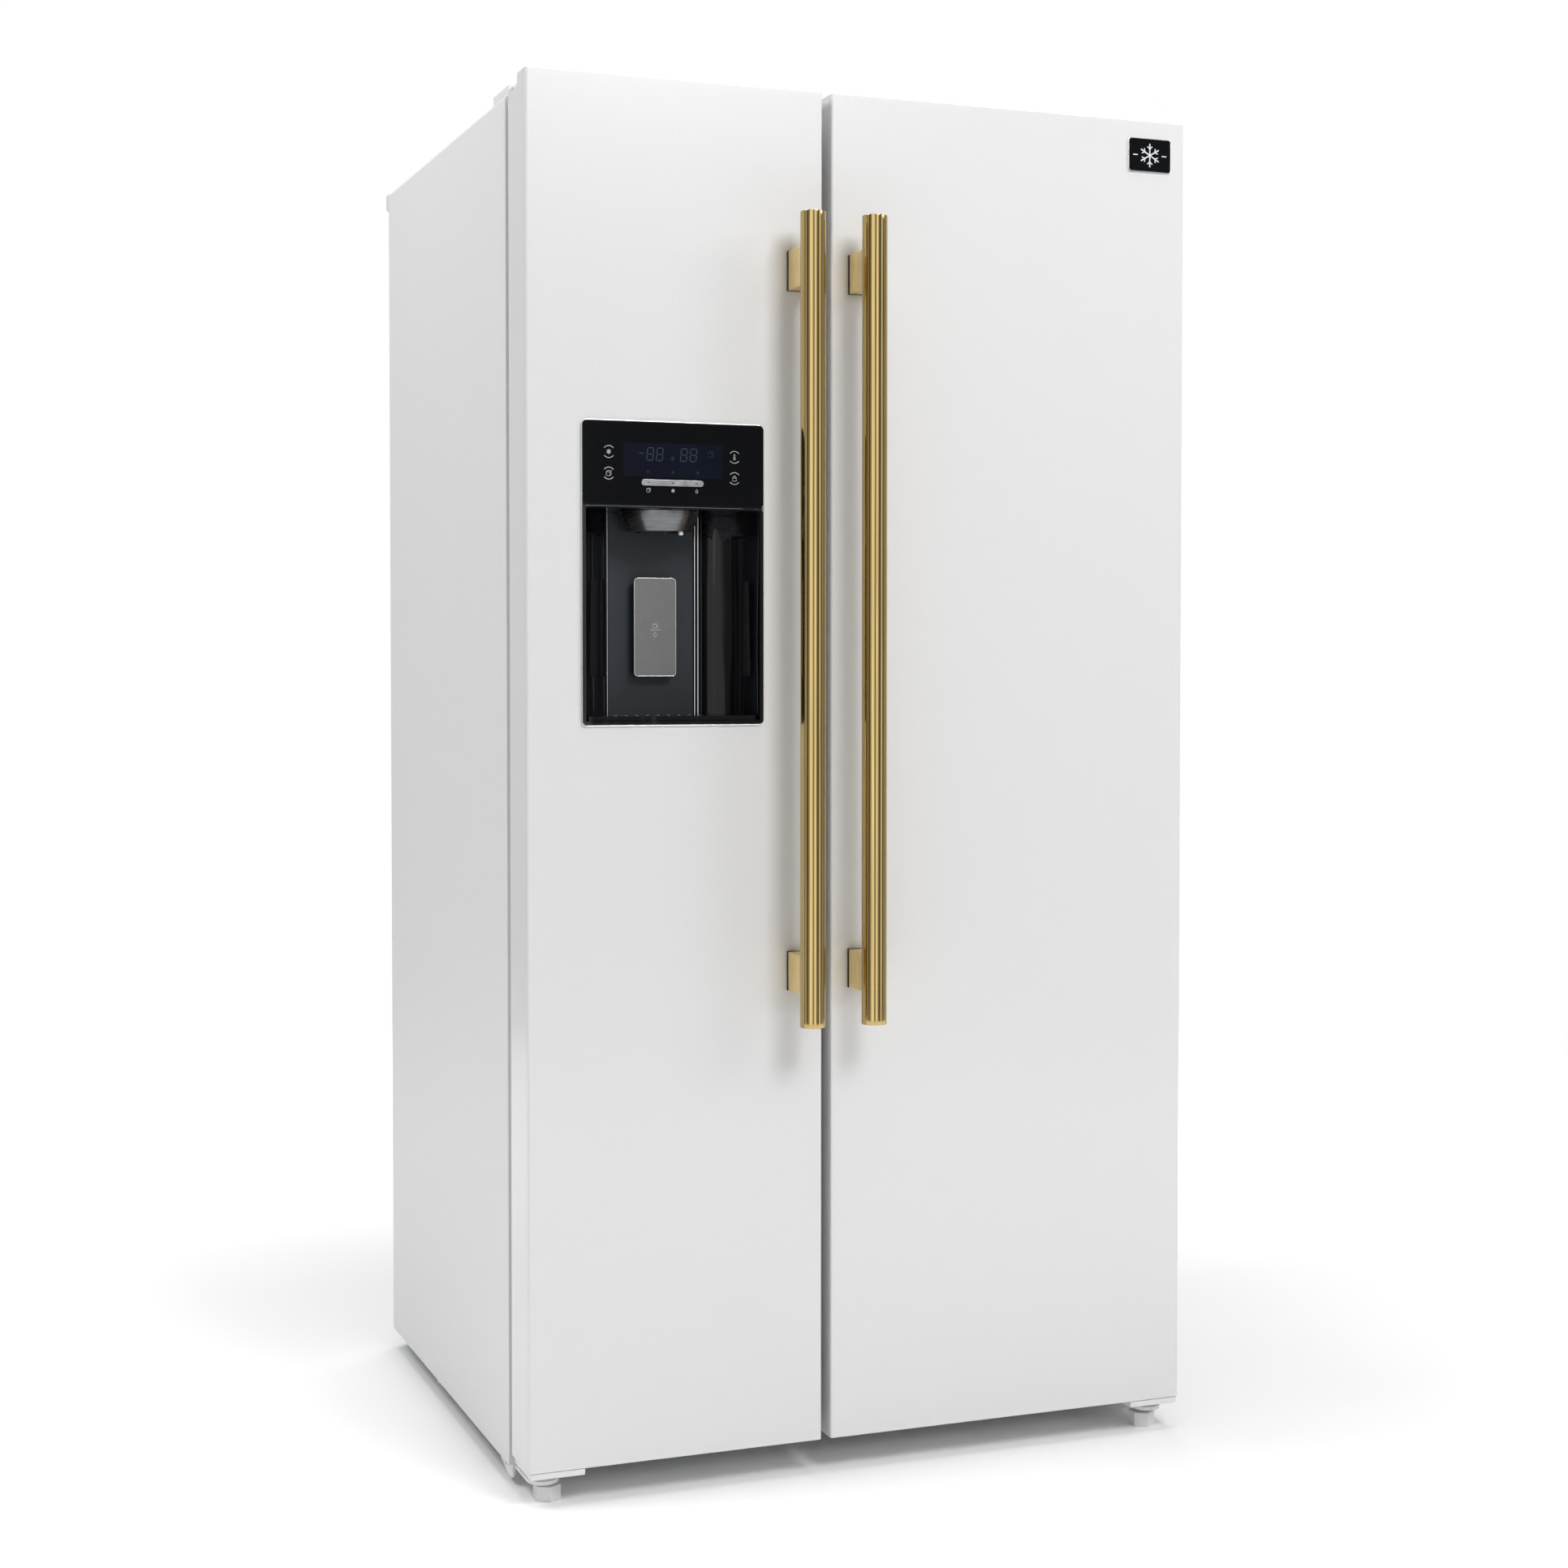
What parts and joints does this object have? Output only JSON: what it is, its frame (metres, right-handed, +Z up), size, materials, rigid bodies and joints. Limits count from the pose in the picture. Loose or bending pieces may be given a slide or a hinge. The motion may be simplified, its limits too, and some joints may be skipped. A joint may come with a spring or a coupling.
{
  "type": "side by side refrigerator",
  "caption": "Side by side refrigerator with tall bar handles, an ice and water dispenser in the freezer door, shelves, drawers and door bins.",
  "frame": {"origin": "middle of the bounding box at floor level", "axes": "+Z up, -Y out of the doors towards the user, +X to the right as the user faces the doors"},
  "size_m": [0.911, 0.877, 1.765],
  "materials": {
    "cabinet_paint": "textured white enamel",
    "door_paint": "smooth white enamel",
    "foam": "rigid insulating foam",
    "liner": "white moulded liner, satin",
    "galvanised": "galvanised sheet",
    "grey_plastic": "grey moulded plastic",
    "white_plastic": "white moulded plastic",
    "zinc_steel": "zinc plated steel",
    "dark_plastic": "dark moulded plastic",
    "compressor_paint": "black enamel",
    "shelf_glass": "clear tempered glass",
    "clear_plastic": "clear moulded plastic",
    "aluminium": "plain aluminium",
    "gasket": "soft pale grey seal",
    "brushed_brass": "brushed antique brass",
    "black_gloss": "piano black gloss",
    "nozzle_metal": "dark brushed steel",
    "paddle_satin": "satin metallic grey"
  },
  "bodies": {
    "cabinet": {"cabinet_wrapper": "cabinet_paint", "cabinet_foam": "foam", "freezer_liner": "liner", "fridge_liner": "liner", "evaporator_cover": "liner", "rear_panel": "galvanised", "base_pan": "galvanised", "machine_cover": "galvanised", "rear_top_rail": "grey_plastic", "water_inlet_valve": "grey_plastic", "ice_maker": "grey_plastic", "hinge_cover_left": "white_plastic", "hinge_cover_right": "white_plastic", "top_hinge_bracket_left": "zinc_steel", "top_hinge_bracket_right": "zinc_steel", "bottom_hinge_bracket_left": "zinc_steel", "bottom_hinge_bracket_right": "zinc_steel", "power_cord_gland": "dark_plastic", "compressor": "compressor_paint", "freezer_shelf_lower": "shelf_glass", "freezer_shelf_upper": "shelf_glass", "fridge_shelf_lower": "shelf_glass", "fridge_shelf_middle": "shelf_glass", "fridge_shelf_upper": "shelf_glass", "ice_bucket": "clear_plastic", "evaporator_coil": "aluminium"},
    "freezer_door": {"freezer_door_skin": "door_paint", "freezer_door_inner": "liner", "freezer_door_gasket": "gasket", "freezer_handle_bar": "brushed_brass", "freezer_handle_mount_lower": "brushed_brass", "freezer_handle_mount_upper": "brushed_brass", "freezer_door_bin_lower": "clear_plastic", "freezer_door_bin_upper": "clear_plastic", "dispenser_housing": "black_gloss", "dispenser_panel": "black_gloss", "ice_chute_nozzle": "nozzle_metal"},
    "fridge_door": {"fridge_door_skin": "door_paint", "fridge_door_inner": "liner", "fridge_door_gasket": "gasket", "fridge_handle_bar": "brushed_brass", "fridge_handle_mount_lower": "brushed_brass", "fridge_handle_mount_upper": "brushed_brass", "fridge_door_bin_lower": "clear_plastic", "fridge_door_bin_middle": "clear_plastic", "fridge_door_bin_upper": "clear_plastic", "badge_plate": "black_gloss"},
    "dispenser_paddle": {"dispenser_paddle": "paddle_satin"},
    "dispenser_drip_tray": {"dispenser_drip_tray": "dark_plastic"},
    "dairy_lid": {"dairy_lid": "clear_plastic"},
    "freezer_drawer_lower": {"freezer_drawer_lower": "clear_plastic"},
    "freezer_drawer_upper": {"freezer_drawer_upper": "clear_plastic"},
    "crisper_drawer_lower": {"crisper_drawer_lower": "clear_plastic"},
    "crisper_drawer_upper": {"crisper_drawer_upper": "clear_plastic"},
    "ice_auger": {"ice_auger": "zinc_steel"},
    "evaporator_fan": {"evaporator_fan": "dark_plastic"},
    "foot_left": {"foot_left": "zinc_steel"},
    "foot_right": {"foot_right": "zinc_steel"},
    "roller_left": {"roller_left": "dark_plastic"},
    "roller_right": {"roller_right": "dark_plastic"}
  },
  "joints": [
    {"name": "freezer_door_hinge", "type": "hinge", "parent": "cabinet", "child": "freezer_door", "pos_m": [-0.4335, -0.3035, 0.9], "axis": [0, 0, -1], "range_deg": [0, 110]},
    {"name": "fridge_door_hinge", "type": "hinge", "parent": "cabinet", "child": "fridge_door", "pos_m": [0.4335, -0.3035, 0.9], "axis": [0, 0, 1], "range_deg": [0, 110]},
    {"name": "paddle_hinge", "type": "hinge", "parent": "freezer_door", "child": "dispenser_paddle", "pos_m": [-0.268, -0.2855, 1.143], "axis": [1, 0, 0], "range_deg": [0, 5], "stiffness_Nm_per_rad": 2, "springref_deg": -2.86},
    {"name": "drip_tray_slide", "type": "slide", "parent": "freezer_door", "child": "dispenser_drip_tray", "axis": [0, -1, 0], "range_m": [0, 0.06]},
    {"name": "dairy_lid_hinge", "type": "hinge", "parent": "fridge_door", "child": "dairy_lid", "pos_m": [0.1847, -0.2755, 1.554], "axis": [1, 0, 0], "range_deg": [0, 80]},
    {"name": "freezer_drawer_lower_slide", "type": "slide", "parent": "cabinet", "child": "freezer_drawer_lower", "axis": [0, -1, 0], "range_m": [0, 0.085]},
    {"name": "freezer_drawer_upper_slide", "type": "slide", "parent": "cabinet", "child": "freezer_drawer_upper", "axis": [0, -1, 0], "range_m": [0, 0.085]},
    {"name": "crisper_drawer_lower_slide", "type": "slide", "parent": "cabinet", "child": "crisper_drawer_lower", "axis": [0, -1, 0], "range_m": [0, 0.085]},
    {"name": "crisper_drawer_upper_slide", "type": "slide", "parent": "cabinet", "child": "crisper_drawer_upper", "axis": [0, -1, 0], "range_m": [0, 0.085]},
    {"name": "auger_spin", "type": "hinge", "parent": "cabinet", "child": "ice_auger", "pos_m": [-0.267, 0.0345, 1.372], "axis": [0, 1, 0], "continuous": true},
    {"name": "fan_spin", "type": "hinge", "parent": "cabinet", "child": "evaporator_fan", "pos_m": [-0.246, 0.2875, 1.15], "axis": [0, 1, 0], "continuous": true},
    {"name": "foot_left_screw", "type": "hinge", "parent": "cabinet", "child": "foot_left", "pos_m": [-0.4215, -0.3255, 0.01], "axis": [0, 0, 1], "continuous": true},
    {"name": "foot_right_screw", "type": "hinge", "parent": "cabinet", "child": "foot_right", "pos_m": [0.4215, -0.3255, 0.01], "axis": [0, 0, 1], "continuous": true},
    {"name": "roller_left_spin", "type": "hinge", "parent": "cabinet", "child": "roller_left", "pos_m": [-0.4, 0.3695, 0.019], "axis": [1, 0, 0], "continuous": true},
    {"name": "roller_right_spin", "type": "hinge", "parent": "cabinet", "child": "roller_right", "pos_m": [0.4, 0.3695, 0.019], "axis": [1, 0, 0], "continuous": true}
  ]
}
